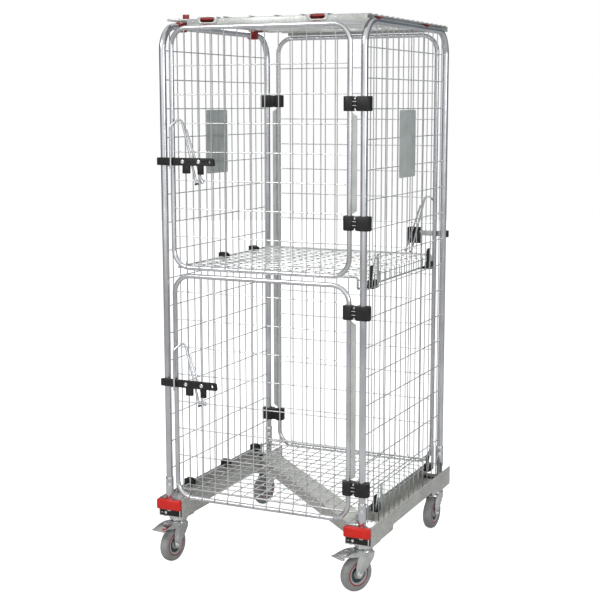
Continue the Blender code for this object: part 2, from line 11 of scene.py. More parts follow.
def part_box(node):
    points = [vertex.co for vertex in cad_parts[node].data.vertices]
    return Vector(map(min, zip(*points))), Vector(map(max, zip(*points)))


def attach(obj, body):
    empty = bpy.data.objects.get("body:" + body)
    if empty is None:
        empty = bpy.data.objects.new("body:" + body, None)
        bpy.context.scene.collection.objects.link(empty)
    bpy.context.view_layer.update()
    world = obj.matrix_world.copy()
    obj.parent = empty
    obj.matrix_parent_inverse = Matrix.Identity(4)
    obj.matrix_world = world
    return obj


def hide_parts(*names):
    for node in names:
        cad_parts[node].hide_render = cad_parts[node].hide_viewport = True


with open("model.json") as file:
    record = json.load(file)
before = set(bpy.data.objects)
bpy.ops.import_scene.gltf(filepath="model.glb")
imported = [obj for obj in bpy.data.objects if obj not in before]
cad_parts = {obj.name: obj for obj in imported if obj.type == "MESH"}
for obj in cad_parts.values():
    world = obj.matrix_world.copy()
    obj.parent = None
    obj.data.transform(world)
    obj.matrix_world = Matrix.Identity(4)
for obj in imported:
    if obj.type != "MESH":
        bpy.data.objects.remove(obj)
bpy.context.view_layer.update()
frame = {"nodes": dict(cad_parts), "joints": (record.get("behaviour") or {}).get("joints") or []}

JOINTS = {joint["name"]: joint for joint in frame["joints"]}


def joint_at(name):
    return Vector(JOINTS[name]["pos_m"])


# Places that come from the frame
POST_X = joint_at("upper_door_post_hinge").x
FRONT_Y = joint_at("upper_door_post_hinge").y
REAR_Y = joint_at("rear_panel_post_hinge").y
CAGE_Y = (FRONT_Y + REAR_Y) / 2
POST_Y = (REAR_Y - FRONT_Y) / 2
HINGE_X = joint_at("upper_door_swing").x
PANEL_TOP = joint_at("lid_lift").z
POST_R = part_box("left_side_panel")[1].z - PANEL_TOP
RAIL_LOW, RAIL_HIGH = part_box("base_right_rail")
DOOR_R = 0.0085
FREE_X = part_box("upper_door")[0].x + DOOR_R

# Sizes of the real thing's details
WIRE_R = 0.0020
SIDE_PITCH = 0.051
SIDE_ROWS = [0.352 + 0.1 * k for k in range(16)]
BLOCKED_ROWS = (0.352, 0.952, 1.252, 1.652)
PANEL_BEND = 0.085
DOOR_BEND = 0.062
DOOR_PITCH = 0.0518
ROWS = {
    "upper_door": [1.206 + 0.099 * k for k in range(7)],
    "lower_door": [0.408 + 0.1 * k for k in range(7)],
    "rear_panel": [0.409 + 0.1 * k for k in range(15)],
}
RAIL_FLOOR = RAIL_LOW.z + 0.021
MOUNT_RISE = 0.018
MOUNT_LEN = 0.210
SHEET = 0.003
COVER_LEN = 0.077
LATCH_LEFT = -0.396
LATCH_RIGHT = -0.168
REAR_LATCH_RIGHT = -0.228
LATCH_GAP = 0.0125
LATCH_T = 0.012
ROD_BEHIND = 0.0075
HOOK_FREE = 0.0295
ROOF_FLANGE_LEFT = -0.283
OVAL_XS = (-0.203, 0.210)

TO_YZ = Matrix(((0, 0, 1, 0), (1, 0, 0, 0), (0, 1, 0, 0), (0, 0, 0, 1)))
TO_XZ = Matrix(((1, 0, 0, 0), (0, 0, -1, 0), (0, 1, 0, 0), (0, 0, 0, 1)))


# ---------------------------------------------------------------- materials

def nodes_of(name):
    made = bpy.data.materials.new(name)
    made.use_nodes = True
    tree = made.node_tree
    return made, tree, tree.nodes["Principled BSDF"]


def noise(tree, scale, detail=3.0, stretch=(1, 1, 1), rough=0.5):
    """A noise texture in the object's own space."""
    place = tree.nodes.new("ShaderNodeTexCoord")
    mapping = tree.nodes.new("ShaderNodeMapping")
    mapping.inputs["Scale"].default_value = stretch
    made = tree.nodes.new("ShaderNodeTexNoise")
    made.inputs["Scale"].default_value = scale
    made.inputs["Detail"].default_value = detail
    made.inputs["Roughness"].default_value = rough
    tree.links.new(place.outputs["Object"], mapping.inputs["Vector"])
    tree.links.new(mapping.outputs["Vector"], made.inputs["Vector"])
    return made.outputs["Fac"]


def ramp(tree, source, stops):
    made = tree.nodes.new("ShaderNodeValToRGB")
    line = made.color_ramp
    line.elements.remove(line.elements[1])
    line.elements[0].position = stops[0][0]
    line.elements[0].color = (*stops[0][1], 1.0)
    for place, colour in stops[1:]:
        line.elements.new(place).color = (*colour, 1.0)
    tree.links.new(source, made.inputs["Fac"])
    return made.outputs["Color"]


def spread(tree, source, low, high, start=0.3, end=0.7):
    made = tree.nodes.new("ShaderNodeMapRange")
    made.inputs["From Min"].default_value = start
    made.inputs["From Max"].default_value = end
    made.inputs["To Min"].default_value = low
    made.inputs["To Max"].default_value = high
    tree.links.new(source, made.inputs["Value"])
    return made.outputs["Result"]


def mixed(tree, factor, first, second, kind="MIX"):
    made = tree.nodes.new("ShaderNodeMix")
    made.data_type = "RGBA"
    made.blend_type = kind
    tree.links.new(factor, made.inputs["Factor"])
    for socket, value in (("A", first), ("B", second)):
        target = [i for i in made.inputs if i.name == socket and i.type == "RGBA"][0]
        if isinstance(value, tuple):
            target.default_value = (*value, 1.0)
        else:
            tree.links.new(value, target)
    return [o for o in made.outputs if o.type == "RGBA"][0]


def finish_of(name, dark, light, rough, metal, scale=18.0, grain=900.0, bump=0.05, stretch=(1, 1, 1),
              spangle=0.0, dirt=None):
    """A worn finish: colour patches, changing roughness, fine grain, and grime where it is given."""
    made, tree, shader = nodes_of(name)
    patches = noise(tree, scale, 4.0, stretch)
    colour = ramp(tree, patches, [(0.32, dark), (0.68, light)])
    if spangle:
        place = tree.nodes.new("ShaderNodeTexCoord")
        cells = tree.nodes.new("ShaderNodeTexVoronoi")
        cells.inputs["Scale"].default_value = 130.0
        tree.links.new(place.outputs["Object"], cells.inputs["Vector"])
        grey = tree.nodes.new("ShaderNodeRGBToBW")
        tree.links.new(cells.outputs["Color"], grey.inputs["Color"])
        shade = spread(tree, grey.outputs["Val"], 0.0, spangle, 0.2, 0.8)
        colour = mixed(tree, shade, colour, tuple(min(1.0, c * 1.35) for c in light))
    if dirt:
        mask = spread(tree, noise(tree, 7.0, 6.0, rough=0.65), 0.0, 0.55, 0.52, 0.74)
        colour = mixed(tree, mask, colour, dirt)
    tree.links.new(colour, shader.inputs["Base Color"])
    tree.links.new(spread(tree, noise(tree, scale * 2.3, 5.0, stretch), *rough), shader.inputs["Roughness"])
    shader.inputs["Metallic"].default_value = metal
    raised = tree.nodes.new("ShaderNodeBump")
    raised.inputs["Strength"].default_value = bump
    raised.inputs["Distance"].default_value = 0.0004
    tree.links.new(noise(tree, grain, 2.0), raised.inputs["Height"])
    tree.links.new(raised.outputs["Normal"], shader.inputs["Normal"])
    return made


LOOKS = {
    "tube": finish_of("bright_zinc_tube", (0.66, 0.665, 0.70), (0.83, 0.84, 0.86), (0.13, 0.24), 1.0,
                      scale=9.0, grain=700.0, bump=0.03, dirt=(0.56, 0.55, 0.53)),
    "wire": finish_of("zinc_wire", (0.54, 0.55, 0.55), (0.74, 0.75, 0.75), (0.28, 0.42), 1.0,
                      scale=14.0, grain=900.0, bump=0.05, dirt=(0.46, 0.45, 0.42)),
    "pressed": finish_of("pressed_zinc", (0.68, 0.69, 0.69), (0.84, 0.85, 0.84), (0.18, 0.30), 1.0,
                         scale=30.0, grain=1100.0, bump=0.02, dirt=(0.60, 0.59, 0.55)),
    "galvanised": finish_of("galvanised_sheet", (0.50, 0.505, 0.47), (0.63, 0.635, 0.60), (0.36, 0.52), 0.55,
                            scale=11.0, grain=800.0, bump=0.05, spangle=0.35, dirt=(0.46, 0.45, 0.40)),
    "roof": finish_of("galvanised_roof", (0.44, 0.46, 0.445), (0.56, 0.58, 0.56), (0.32, 0.48), 0.6,
                      scale=12.0, grain=800.0, bump=0.05, spangle=0.35, dirt=(0.40, 0.39, 0.35)),
    "label": finish_of("painted_label", (0.48, 0.53, 0.505), (0.60, 0.64, 0.62), (0.42, 0.58), 0.15,
                       scale=16.0, grain=1300.0, bump=0.03, dirt=(0.46, 0.47, 0.44)),
    "bolt": finish_of("bright_bolt", (0.78, 0.78, 0.76), (0.94, 0.94, 0.93), (0.1, 0.22), 1.0,
                      scale=60.0, grain=2000.0, bump=0.02),
    "black": finish_of("black_plastic_grain", (0.005, 0.005, 0.006), (0.013, 0.013, 0.014), (0.36, 0.55), 0.0,
                       scale=40.0, grain=1500.0, bump=0.15, dirt=(0.026, 0.025, 0.023)),
    "red": finish_of("red_plastic_grain", (0.68, 0.010, 0.004), (0.80, 0.018, 0.008), (0.28, 0.42), 0.0,
                     scale=14.0, grain=1400.0, bump=0.06, dirt=(0.56, 0.016, 0.010)),
    "dark_red": finish_of("dark_red_plastic", (0.26, 0.006, 0.006), (0.42, 0.012, 0.010), (0.32, 0.48), 0.0,
                          scale=40.0, grain=1500.0, bump=0.10, dirt=(0.22, 0.020, 0.018)),
    "rubber": finish_of("grey_rubber", (0.25, 0.255, 0.25), (0.36, 0.365, 0.36), (0.55, 0.75), 0.0,
                        scale=35.0, grain=1300.0, bump=0.20, dirt=(0.20, 0.19, 0.175)),
    "lip": finish_of("pale_wheel_lip", (0.40, 0.41, 0.405), (0.52, 0.53, 0.525), (0.4, 0.55), 0.1,
                     scale=35.0, grain=1300.0, bump=0.10),
    "core": finish_of("dark_wheel_core", (0.035, 0.05, 0.055), (0.09, 0.115, 0.125), (0.25, 0.42), 0.5,
                      scale=50.0, grain=1300.0, bump=0.08),
    "strip": finish_of("pale_hinge_strip", (0.52, 0.55, 0.53), (0.64, 0.67, 0.65), (0.36, 0.50), 0.3,
                       scale=18.0, grain=1200.0, bump=0.03, dirt=(0.48, 0.48, 0.45)),
}


# ---------------------------------------------------------------- shapes

def rounded(points, radius, steps, closed=False):
    """A polyline with its corners turned into arcs; radius is one number or one for each corner."""
    points = [Vector(p) for p in points]
    count = len(points)
    radii = radius if isinstance(radius, (list, tuple)) else [radius] * count
    path = []
    for i, corner in enumerate(points):
        if (not closed and i in (0, count - 1)) or radii[i] <= 0:
            path.append(corner)
            continue
        to_last = (points[i - 1] - corner).normalized()
        to_next = (points[(i + 1) % count] - corner).normalized()
        half = to_last.angle(to_next) / 2
        reach = radii[i] / math.tan(half)
        centre = corner + (to_last + to_next).normalized() * (radii[i] / math.sin(half))
        start = corner + to_last * reach - centre
        end = corner + to_next * reach - centre
        whole = start.angle(end)
        for k in range(steps + 1):
            a = whole * k / steps
            path.append(centre + (start * math.sin(whole - a) + end * math.sin(a)) / math.sin(whole))
    return path


def mesh_of(curve):
    """The mesh that a curve makes, welded."""
    holder = bpy.data.objects.new("shape", curve)
    bpy.context.scene.collection.objects.link(holder)
    bpy.context.view_layer.update()
    graph = bpy.context.evaluated_depsgraph_get()
    mesh = bpy.data.meshes.new_from_object(holder.evaluated_get(graph))
    bpy.data.objects.remove(holder, do_unlink=True)
    bpy.data.curves.remove(curve)
    bm = bmesh.new()
    bm.from_mesh(mesh)
    bmesh.ops.remove_doubles(bm, verts=bm.verts, dist=0.000005)
    bmesh.ops.recalc_face_normals(bm, faces=bm.faces)
    bm.to_mesh(mesh)
    bm.free()
    return mesh


def bars(paths, radius, sides=8, closed=False):
    """Round bars along several paths."""
    curve = bpy.data.curves.new("bars", "CURVE")
    curve.dimensions = "3D"
    curve.bevel_depth = radius
    curve.bevel_resolution = (sides - 4) // 2
    curve.use_fill_caps = True
    for path in paths:
        spline = curve.splines.new("POLY")
        spline.points.add(len(path) - 1)
        for point, place in zip(spline.points, path):
            point.co = (*place, 1.0)
        spline.use_cyclic_u = closed
    return mesh_of(curve)


def sheet(outline, half, matrix, holes=(), edge=0.0006):
    """A flat outline with holes, its rim rounded, in its own XY plane and then placed."""
    curve = bpy.data.curves.new("sheet", "CURVE")
    curve.dimensions = "2D"
    curve.fill_mode = "BOTH"
    curve.extrude = half - edge
    curve.bevel_depth = edge
    curve.bevel_resolution = 1
    curve.offset = -edge
    for loop in (outline, *holes):
        spline = curve.splines.new("POLY")
        spline.points.add(len(loop) - 1)
        for point, place in zip(spline.points, loop):
            point.co = (place[0], place[1], 0.0, 1.0)
        spline.use_cyclic_u = True
    mesh = mesh_of(curve)
    mesh.transform(matrix)
    return mesh


def ring_of(x, y, radius, steps=24):
    """The points of a circle."""
    turn = 2 * math.pi / steps
    return [(x + radius * math.cos(turn * k), y + radius * math.sin(turn * k)) for k in range(steps)]


def box_points(low, high, radius, steps=3):
    """A rectangle with rounded corners, as an outline."""
    corners = [(low[0], low[1], 0), (high[0], low[1], 0), (high[0], high[1], 0), (low[0], high[1], 0)]
    return rounded(corners, radius, steps, closed=True)


def block(low, high, edge=0.002, segments=2):
    """A box with all its edges rounded."""
    mesh = bpy.data.meshes.new("block")
    bm = bmesh.new()
    size = [b - a for a, b in zip(low, high)]
    middle = [(a + b) / 2 for a, b in zip(low, high)]
    bmesh.ops.create_cube(bm, size=1.0, matrix=Matrix.Translation(middle) @ Matrix.Diagonal((*size, 1)))
    bmesh.ops.bevel(bm, geom=bm.edges[:], offset=edge, segments=segments, affect="EDGES", profile=0.5)
    bm.to_mesh(mesh)
    bm.free()
    return mesh


def lathe(profile, steps, matrix, closed=True):
    """A profile of (radius, height) turned about Z; a closed one comes back round to its first point."""
    mesh = bpy.data.meshes.new("lathe")
    bm = bmesh.new()
    rings = []
    for k in range(steps):
        a = 2 * math.pi * k / steps
        rings.append([bm.verts.new((r * math.cos(a), r * math.sin(a), h)) for r, h in profile])
    count = len(profile)
    for k, ring in enumerate(rings):
        after = rings[(k + 1) % steps]
        for i in range(count if closed else count - 1):
            j = (i + 1) % count
            bm.faces.new((ring[i], ring[j], after[j], after[i]))
    bmesh.ops.remove_doubles(bm, verts=bm.verts, dist=0.000005)
    bmesh.ops.recalc_face_normals(bm, faces=bm.faces)
    bm.to_mesh(mesh)
    bm.free()
    mesh.transform(matrix)
    return mesh


def facing(place, axis):
    """The placement that puts Z along an axis at a point."""
    return Matrix.Translation(place) @ Vector(axis).to_track_quat("Z", "Y").to_matrix().to_4x4()


def rivet(place, axis, radius=0.0035, height=0.0016):
    """A domed head."""
    profile = [
        (0, height), (radius * 0.5, height * 0.88), (radius * 0.85, height * 0.5), (radius, 0),
        (0, -0.0006),
    ]
    return lathe(profile, 14, facing(place, axis), closed=False)


def socket_bolt(place, axis, radius=0.0058, height=0.0030):
    """A button head with a recess in its middle."""
    profile = [
        (0, height * 0.35),
        (radius * 0.42, height * 0.35),
        (radius * 0.48, height * 0.95),
        (radius * 0.66, height),
        (radius * 0.92, height * 0.7),
        (radius, 0.0),
        (0, -0.0006),
    ]
    return lathe(profile, 18, facing(place, axis), closed=False)


def hexagon(place, axis, radius, height):
    """A nut with chamfered corners."""
    outline = ring_of(0, 0, radius, 6)
    return sheet(outline, height / 2, facing(place, axis), edge=min(0.001, height / 4))


def piece(name, meshes, look, body, stands_for=(), smooth=38):
    """One visible piece: its shapes joined, its finish, the body it rides and the CAD nodes it stands for."""
    whole = bpy.data.meshes.new(name)
    bm = bmesh.new()
    for mesh in meshes:
        bm.from_mesh(mesh)
        bpy.data.meshes.remove(mesh)
    bm.to_mesh(whole)
    bm.free()
    whole.materials.append(LOOKS[look])
    whole.shade_smooth()
    whole.set_sharp_from_angle(angle=math.radians(smooth))
    made = bpy.data.objects.new(name, whole)
    bpy.context.scene.collection.objects.link(made)
    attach(made, body)
    if stands_for:
        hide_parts(*stands_for)
    return made


def turned(meshes, matrix):
    for mesh in meshes:
        mesh.transform(matrix)
    return meshes


# ---------------------------------------------------------------- base

def build_rail(side):
    """A folded rail that is open above, with a deeper box at each end that carries the castor."""
    low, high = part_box("base_" + side + "_rail")
    low_wall = low.z + MOUNT_RISE
    corners = [
        (low.y, high.z),
        (low.y, low.z),
        (low.y + MOUNT_LEN, low.z),
        (low.y + MOUNT_LEN, low_wall),
        (high.y - MOUNT_LEN, low_wall),
        (high.y - MOUNT_LEN, low.z),
        (high.y, low.z),
        (high.y, high.z),
    ]
    radii = [0.003, 0.003, 0.011, 0.005, 0.005, 0.011, 0.003, 0.003]
    outline = rounded([(y, z, 0) for y, z in corners], radii, 4, closed=True)
    shapes = []
    for x in (low.x + SHEET / 2, high.x - SHEET / 2):
        shapes.append(sheet(outline, SHEET / 2, Matrix.Translation((x, 0, 0)) @ TO_YZ, edge=0.0009))
    floor_low = (low.x + 0.001, low.y + 0.014, RAIL_FLOOR - SHEET)
    shapes.append(block(floor_low, (high.x - 0.001, high.y - 0.014, RAIL_FLOOR), 0.0008))
    for start in (low.y, high.y - MOUNT_LEN):
        under = (low.x + 0.001, start + 0.002, low.z)
        shapes.append(block(under, (high.x - 0.001, start + MOUNT_LEN - 0.004, low.z + 0.0028), 0.001))
    # The folds along the bottom
    for x in (low.x + 0.0042, high.x - 0.0042):
        shapes.append(
            bars(
                [[(x, low.y + 0.016, RAIL_FLOOR - 0.0008), (x, high.y - 0.016, RAIL_FLOOR - 0.0008)]],
                0.0022,
            )
        )
    piece("rail_" + side, shapes, "galvanised", "base", ["base_" + side + "_rail"])

    # Black blocks in each mount box: partly black plastic end plugs, partly painted shade that darkens the
    # inside of the box
    shade_plugs = []
    for y in (low.y + 0.003, high.y - 0.045):
        shade_plugs.append(
            block((low.x + 0.0045, y, low.z + 0.0035), (high.x - 0.0045, y + 0.042, low.z + 0.0298), 0.002)
        )
    piece("rail_shade_plugs_" + side, shade_plugs, "black", "base")

    outward = -1 if side == "left" else 1
    face = low.x if side == "left" else high.x
    heads = []
    for y in (low.y + 0.072, low.y + 0.164, high.y - 0.072, high.y - 0.164):
        heads.append(rivet((face, y, low.z + 0.011), (outward, 0, 0), 0.0042))
        heads.append(
            rivet((low.x if side == "right" else high.x, y, low.z + 0.011), (-outward, 0, 0), 0.0042)
        )
    front = low.y + 0.0034
    heads.append(socket_bolt((low.x + 0.027, front, low.z + 0.014), (0, -1, 0), 0.0058))
    heads.append(socket_bolt((low.x + 0.012, front, low.z + 0.014), (0, -1, 0), 0.0030))
    heads.append(
        block(
            (high.x - 0.014, low.y + 0.001, low.z + 0.004), (high.x - 0.009, low.y + 0.006, low.z + 0.026),
            0.001,
        )
    )
    heads.append(socket_bolt((low.x + 0.027, high.y - 0.0034, low.z + 0.014), (0, 1, 0), 0.0058))
    piece("rail_bolts_" + side, heads, "bolt", "base")


def build_foot_plates():
    """A cover plate round each front post, a keeper plate beside each rear post, and their bolts."""
    for side, sign in (("left", -1), ("right", 1)):
        low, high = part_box("base_" + side + "_rail")
        cover = box_points((low.x + 0.0034, low.y + 0.002), (high.x - 0.0034, low.y + COVER_LEN), 0.004)
        post = ring_of(sign * POST_X, FRONT_Y, POST_R + 0.0006, 28)
        keeper_x = sign * (POST_X - 0.026)
        keeper = box_points((-0.017, -0.014), (0.020, 0.014), 0.006)
        shapes = [
            sheet(cover, 0.0012, Matrix.Translation((0, 0, high.z - 0.0018)), [post], 0.0004),
            sheet(keeper, 0.0013, Matrix.Translation((keeper_x, REAR_Y, RAIL_HIGH.z + 0.0016))),
        ]
        front_bolt = (sign * (POST_X - 0.041), low.y + 0.066, high.z - 0.0006)
        rear_bolt = (keeper_x - sign * 0.004, REAR_Y, RAIL_HIGH.z + 0.0030)
        heads = [
            socket_bolt(front_bolt, (0, 0, 1), 0.0060, 0.0042),
            socket_bolt(rear_bolt, (0, 0, 1), 0.0055, 0.0042),
        ]
        piece("post_keepers_" + side, shapes, "pressed", "base")
        piece("post_keeper_bolts_" + side, heads, "bolt", "base")


def build_bumper(side):
    """A moulded cap with a slightly raised face."""
    node = "bumper_front_" + side
    low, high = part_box(node)
    body = block(low, high, 0.0055, 3)
    outline = box_points((low.x + 0.008, low.z + 0.006), (high.x - 0.008, high.z - 0.006), 0.005)
    face = sheet(outline, 0.0009, Matrix.Translation((0, low.y, 0)) @ TO_XZ, edge=0.0006)
    piece("bumper_cap_" + side, [body, face], "red", "base", [node])


def build_beam():
    """The folded diagonal beam keeps its CAD shape, with its folds rounded."""
    node = frame["nodes"]["base_diagonal_beam"]
    weld = node.modifiers.new("weld", "WELD")
    weld.merge_threshold = 0.00002
    fold = node.modifiers.new("folds", "BEVEL")
    fold.width = 0.0012
    fold.segments = 2
    fold.limit_method = "ANGLE"
    node.data.materials.clear()
    node.data.materials.append(LOOKS["galvanised"])


# ---------------------------------------------------------------- castors

def build_castor(tag):
    """Plate, swivel race, fork, wheel with its ring and core, axle and, in front, the brake pedal."""
    pivot = joint_at(tag + "_swivel")
    hub = joint_at(tag + "_spin")
    axis = Vector(JOINTS[tag + "_spin"]["axis"])
    angle = math.atan2(axis.y, axis.x)
    spot = Matrix.Translation((pivot.x, pivot.y, 0)) @ Matrix.Rotation(angle, 4, "Z")
    trail = (hub - pivot).to_2d().length
    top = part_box("castor_" + tag + "_plate")[1].z
    cup_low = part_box("castor_" + tag + "_plate")[0].z

    holder = Matrix.Translation((pivot.x, pivot.y, 0))
    outline = box_points((-0.048, -0.040), (0.048, 0.040), 0.007)
    slots = [ring_of(x, y, 0.0042, 12) for x in (-0.038, 0.038) for y in (-0.030, 0.030)]
    plate = [sheet(outline, 0.002, holder @ Matrix.Translation((0, 0, top - 0.002)), slots, 0.0008)]
    cup = [
        (0.0, cup_low + 0.003),
        (0.030, cup_low + 0.003),
        (0.0315, cup_low),
        (0.0335, cup_low + 0.001),
        (0.034, cup_low + 0.006),
        (0.0325, cup_low + 0.011),
        (0.034, cup_low + 0.017),
        (0.0, cup_low + 0.017),
    ]
    plate.append(lathe(cup, 36, holder, closed=False))
    for x in (-0.038, 0.038):
        for y in (-0.030, 0.030):
            plate.append(hexagon((pivot.x + x, pivot.y + y, top - 0.0060), (0, 0, 1), 0.0068, 0.0048))
    piece("castor_" + tag + "_top", plate, "pressed", "base", ["castor_" + tag + "_plate"])

    leg = [(0.030, 0.1365), (0.0285, 0.118), (0.012, 0.095), (-0.016, 0.068), (-0.0210, 0.058)]
    for k in range(7):
        a = math.radians(-20 - 23.5 * k)
        leg.append((-trail + 0.0135 * math.cos(a), hub.z + 0.0135 * math.sin(a)))
    leg += [(-0.0515, 0.070), (-0.050, 0.092), (-0.045, 0.120), (-0.030, 0.1365)]
    rib = rounded(
        [(0.010, 0.126, 0), (-0.026, 0.072, 0), (-0.042, 0.078, 0), (-0.024, 0.126, 0)], 0.006, 3,
        closed=True,
    )
    fork = []
    for side in (-1, 1):
        fork.append(sheet(leg, 0.0019, Matrix.Translation((side * 0.0205, 0, 0)) @ TO_YZ, edge=0.0008))
        fork.append(sheet(rib, 0.0010, Matrix.Translation((side * 0.0226, 0, 0)) @ TO_YZ, edge=0.0008))
    fork.append(block((-0.0224, -0.0305, 0.1305), (0.0224, 0.0305, 0.1372), 0.0026, 3))
    race = [
        (0.0, 0.1512),
        (0.026, 0.1512),
        (0.0285, 0.1495),
        (0.0270, 0.1462),
        (0.0300, 0.1440),
        (0.0310, 0.1405),
        (0.0290, 0.1366),
        (0.0, 0.1366),
    ]
    fork.append(lathe(race, 36, Matrix.Identity(4), closed=False))
    piece(
        "castor_" + tag + "_forks", turned(fork, spot), "pressed", "castor_" + tag,
        ["castor_" + tag + "_fork"],
    )

    build_wheel(tag, hub, axis)
    pin = [
        (0, 0.0255), (0.0046, 0.0255), (0.0049, 0.0250), (0.0049, -0.0250), (0.0046, -0.0255), (0, -0.0255),
    ]
    washer = [(0.0, 0.0), (0.0105, 0.0), (0.0110, 0.0004), (0.0110, 0.0010), (0.0105, 0.0014), (0, 0.0014)]
    axle = [lathe(pin, 16, facing(hub, axis), closed=False)]
    for side in (-1, 1):
        axle.append(lathe(washer, 20, facing(hub + axis * side * 0.0225, axis * side), closed=False))
        axle.append(hexagon(hub + axis * side * 0.0257, axis, 0.0088, 0.0046))
        axle.append(rivet(hub + axis * side * 0.0279, axis * side, 0.0046, 0.0022))
    piece("castor_" + tag + "_bolt", axle, "bolt", "castor_" + tag, ["castor_" + tag + "_axle"])
    if tag.startswith("front"):
        build_pedal(tag, spot)


def build_wheel(tag, hub, axis):
    """A grey tyre with rounded shoulders, a thin dark red ring, a pale lip and a dark core."""
    place = facing(hub, axis)
    half = 0.0164
    radius = hub.z - 0.0001
    tread = [
        (0.0412, half - 0.0016),
        (0.0440, half - 0.0004),
        (0.0500, half),
        (0.0555, half - 0.0012),
        (0.0592, half - 0.0040),
        (0.0613, half - 0.0080),
        (radius, half - 0.0115),
    ]
    tyre = tread + [(r, -h) for r, h in reversed(tread)]
    body = "wheel_" + tag
    piece(
        "wheel_" + tag + "_tyre", [lathe(tyre, 56, place)], "rubber", body, ["castor_" + tag + "_wheel"],
        50,
    )
    band = [
        (0.0372, half - 0.0012), (0.0385, half - 0.0006), (0.0402, half - 0.0006), (0.0414, half - 0.0014),
    ]
    ring = band + [(r, -h) for r, h in reversed(band)]
    piece("wheel_" + tag + "_ring", [lathe(ring, 48, place)], "dark_red", body)
    inner = [
        (0.0300, half - 0.0042), (0.0312, half - 0.0020), (0.0345, half - 0.0012), (0.0374, half - 0.0016),
    ]
    lip = inner + [(r, -h) for r, h in reversed(inner)]
    disc = [(0.0056, half), (0.0125, half), (0.0155, half - 0.0012), (0.0165, half - 0.0040)]
    hub_disc = disc + [(r, -h) for r, h in reversed(disc)]
    piece("wheel_" + tag + "_lip", [lathe(lip, 48, place), lathe(hub_disc, 32, place)], "lip", body)
    web = [(0.0160, 0.0082), (0.0200, 0.0066), (0.0270, 0.0070), (0.0304, 0.0100)]
    core = web + [(r, -h) for r, h in reversed(web)]
    shapes = [lathe(core, 40, place)]
    for k in range(5):
        a = 2 * math.pi * k / 5
        for side in (-1, 1):
            out = place @ Vector((0.0232 * math.cos(a), 0.0232 * math.sin(a), side * 0.0064))
            shapes.append(rivet(out, axis * side, 0.0030, 0.0018))
    piece("wheel_" + tag + "_core", shapes, "core", body)


def build_pedal(tag, spot):
    """The pressed brake pedal, with an embossed window in its tread."""
    tread = [
        (-0.034, 0.1490),
        (-0.047, 0.1499),
        (-0.060, 0.1500),
        (-0.076, 0.1478),
        (-0.090, 0.1450),
        (-0.104, 0.1412),
        (-0.1175, 0.1365),
        (-0.1175, 0.1335),
        (-0.104, 0.1380),
        (-0.090, 0.1418),
        (-0.060, 0.1468),
        (-0.034, 0.1458),
    ]
    ear = rounded(
        [(-0.018, 0.1472, 0), (-0.060, 0.1484, 0), (-0.096, 0.1420, 0), (-0.094, 0.1372, 0),
         (-0.050, 0.1292, 0), (-0.018, 0.1300, 0)],
        0.003, 3, closed=True,
    )
    shapes = [sheet(tread, 0.0267, TO_YZ, edge=0.0006)]
    for side in (-1, 1):
        shapes.append(sheet(ear, 0.0012, Matrix.Translation((side * 0.0254, 0, 0)) @ TO_YZ, edge=0.0005))
        shapes.append(rivet((side * 0.0266, -0.030, 0.1390), (side, 0, 0), 0.0042, 0.0020))
    shapes.append(block((-0.0315, -0.1205, 0.1326), (0.0315, -0.1080, 0.1366), 0.0017, 3))
    for depth, reach in ((0.0, 0.0165), (0.0045, 0.0115)):
        window = [
            (-reach, -0.066 - depth, 0.1493 - depth * 0.17),
            (reach, -0.066 - depth, 0.1493 - depth * 0.17),
            (reach, -0.100 + depth, 0.1424 + depth * 0.25),
            (-reach, -0.100 + depth, 0.1424 + depth * 0.25),
        ]
        shapes.append(bars([rounded(window, 0.004, 3, closed=True)], 0.0011, 8, closed=True))
    brake = "castor_" + tag + "_brake"
    piece("brake_" + tag + "_pedal", turned(shapes, spot), "pressed", "brake_" + tag, [brake])


# ---------------------------------------------------------------- side panels

def top_of_wire(y):
    """How high the bent top tube's middle is above a place along the side."""
    past = abs(y - CAGE_Y) - (POST_Y - PANEL_BEND)
    if past <= 0:
        return PANEL_TOP
    return PANEL_TOP - PANEL_BEND + math.sqrt(max(0.0, PANEL_BEND ** 2 - past ** 2))


